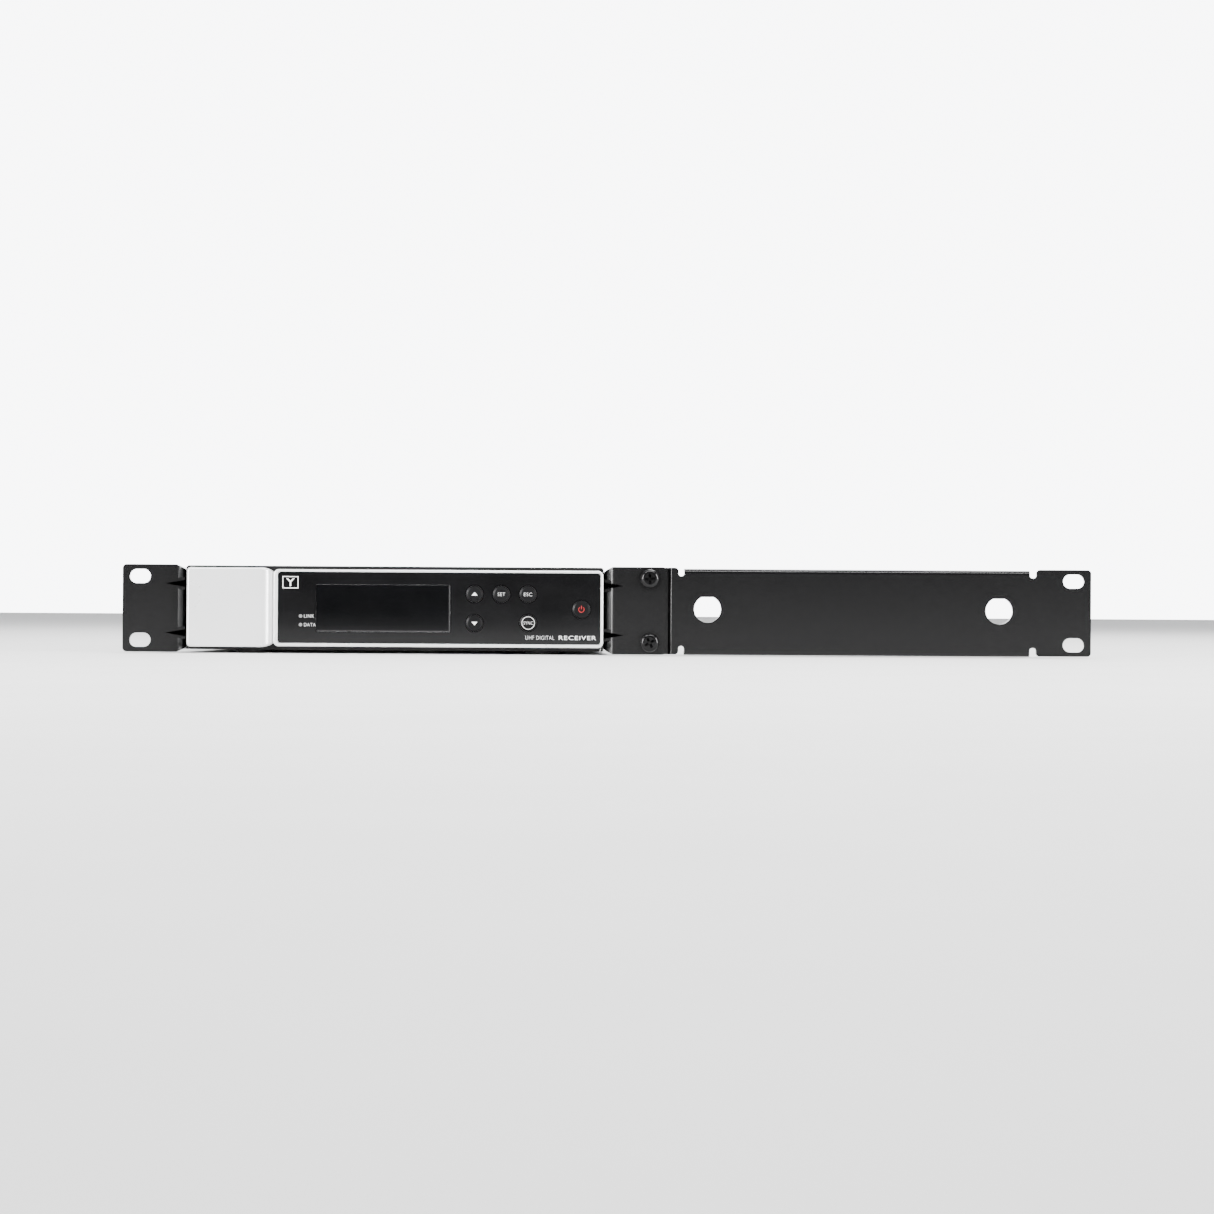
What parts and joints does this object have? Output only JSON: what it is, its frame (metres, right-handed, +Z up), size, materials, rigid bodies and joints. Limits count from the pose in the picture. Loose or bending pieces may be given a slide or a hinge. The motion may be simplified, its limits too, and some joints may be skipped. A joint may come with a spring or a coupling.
{
  "type": "wireless microphone receiver",
  "caption": "Half-rack wireless microphone receiver with display, round push buttons and rear sockets, in its 19-inch rack kit of brackets and blanking panel.",
  "frame": {"origin": "on the surface the feet stand on, under the middle of the 19-inch width and of the whole depth", "axes": "+X along the rack width to the right seen from the front, +Y from the front to the rear sockets, +Z up"},
  "size_m": [0.4826, 0.189, 0.044],
  "materials": {
    "tray": "black powder coat, fine texture",
    "cover": "black powder coat, fine texture",
    "frame_silver": "die-cast, satin silver lacquer",
    "fascia_black": "high gloss black",
    "window": "dark tinted, polished",
    "display": "display glass, switched off",
    "holder": "moulded, fine grain",
    "led": "clear package",
    "light_pipe": "clear acrylic, frosted end",
    "board": "green glass-fibre laminate with solder mask",
    "screw_zinc": "zinc plated",
    "screw_black": "black oxide",
    "bolt_black": "black zinc",
    "tinplate": "tinned sheet",
    "chip": "moulded epoxy",
    "capacitor": "printed sleeve",
    "inductor": "pressed ferrite",
    "connector": "natural nylon",
    "ribbon": "white flat cable",
    "nickel": "nickel plated brass",
    "ptfe": "white, waxy",
    "gold": "gold flash",
    "connector_black": "moulded, semi-matt",
    "button": "satin charcoal",
    "switch": "moulded",
    "rubber_foot": "matt",
    "label_foil": "silver-grey foil, unprinted",
    "kit_sheet": "dark grey powder coat, fine texture"
  },
  "bodies": {
    "chassis": {"antenna_contacts": "gold", "antenna_insulators": "ptfe", "antenna_nuts": "nickel", "antenna_socket_1": "nickel", "antenna_socket_2": "nickel", "base_tray": "tray", "blanking_panel": "kit_sheet", "board_chips": "chip", "board_screws": "screw_zinc", "board_standoffs": "screw_zinc", "bridge_nuts": "screw_zinc", "bridge_screws": "bolt_black", "bridge_washers": "bolt_black", "cable_hook": "connector_black", "control_board": "board", "control_board_screws": "screw_zinc", "cover_screws": "screw_black", "data_light_pipe": "light_pipe", "dc_pin": "nickel", "dc_socket": "connector_black", "display_holder": "holder", "display_panel": "display", "display_window": "window", "ear_nuts": "screw_zinc", "ear_screws": "screw_black", "fascia_panel": "fascia_black", "filter_capacitors": "capacitor", "foot_front_left": "rubber_foot", "foot_front_right": "rubber_foot", "foot_rear_left": "rubber_foot", "foot_rear_right": "rubber_foot", "frame_screws": "screw_zinc", "front_frame": "frame_silver", "jack_nut": "nickel", "jack_socket": "connector_black", "link_light_pipe": "light_pipe", "main_board": "board", "power_inductors": "inductor", "processor_shield": "tinplate", "rack_ear_left": "kit_sheet", "rack_ear_right": "kit_sheet", "ribbon_cable": "ribbon", "ribbon_connectors": "connector", "status_leds": "led", "tact_switches": "switch", "top_cover": "cover", "tuner_shield_1": "tinplate", "tuner_shield_2": "tinplate", "type_plate": "label_foil", "xlr_housing": "connector_black", "xlr_insert": "connector_black", "xlr_pins": "gold", "xlr_screws": "screw_black"},
    "up_key": {"up_button": "button"},
    "down_key": {"down_button": "button"},
    "set_key": {"set_button": "button"},
    "esc_key": {"esc_button": "button"},
    "sync_key": {"sync_button": "button"},
    "power_key": {"power_button": "button"}
  },
  "joints": [
    {"name": "up_press", "type": "slide", "parent": "chassis", "child": "up_key", "axis": [0, 1, 0], "range_m": [0, 0.0006], "stiffness_N_per_m": 800, "springref_m": -0.0005},
    {"name": "down_press", "type": "slide", "parent": "chassis", "child": "down_key", "axis": [0, 1, 0], "range_m": [0, 0.0006], "stiffness_N_per_m": 800, "springref_m": -0.0005},
    {"name": "set_press", "type": "slide", "parent": "chassis", "child": "set_key", "axis": [0, 1, 0], "range_m": [0, 0.0006], "stiffness_N_per_m": 800, "springref_m": -0.0005},
    {"name": "esc_press", "type": "slide", "parent": "chassis", "child": "esc_key", "axis": [0, 1, 0], "range_m": [0, 0.0006], "stiffness_N_per_m": 800, "springref_m": -0.0005},
    {"name": "sync_press", "type": "slide", "parent": "chassis", "child": "sync_key", "axis": [0, 1, 0], "range_m": [0, 0.0006], "stiffness_N_per_m": 800, "springref_m": -0.0005},
    {"name": "power_press", "type": "slide", "parent": "chassis", "child": "power_key", "axis": [0, 1, 0], "range_m": [0, 0.0006], "stiffness_N_per_m": 800, "springref_m": -0.0005}
  ]
}
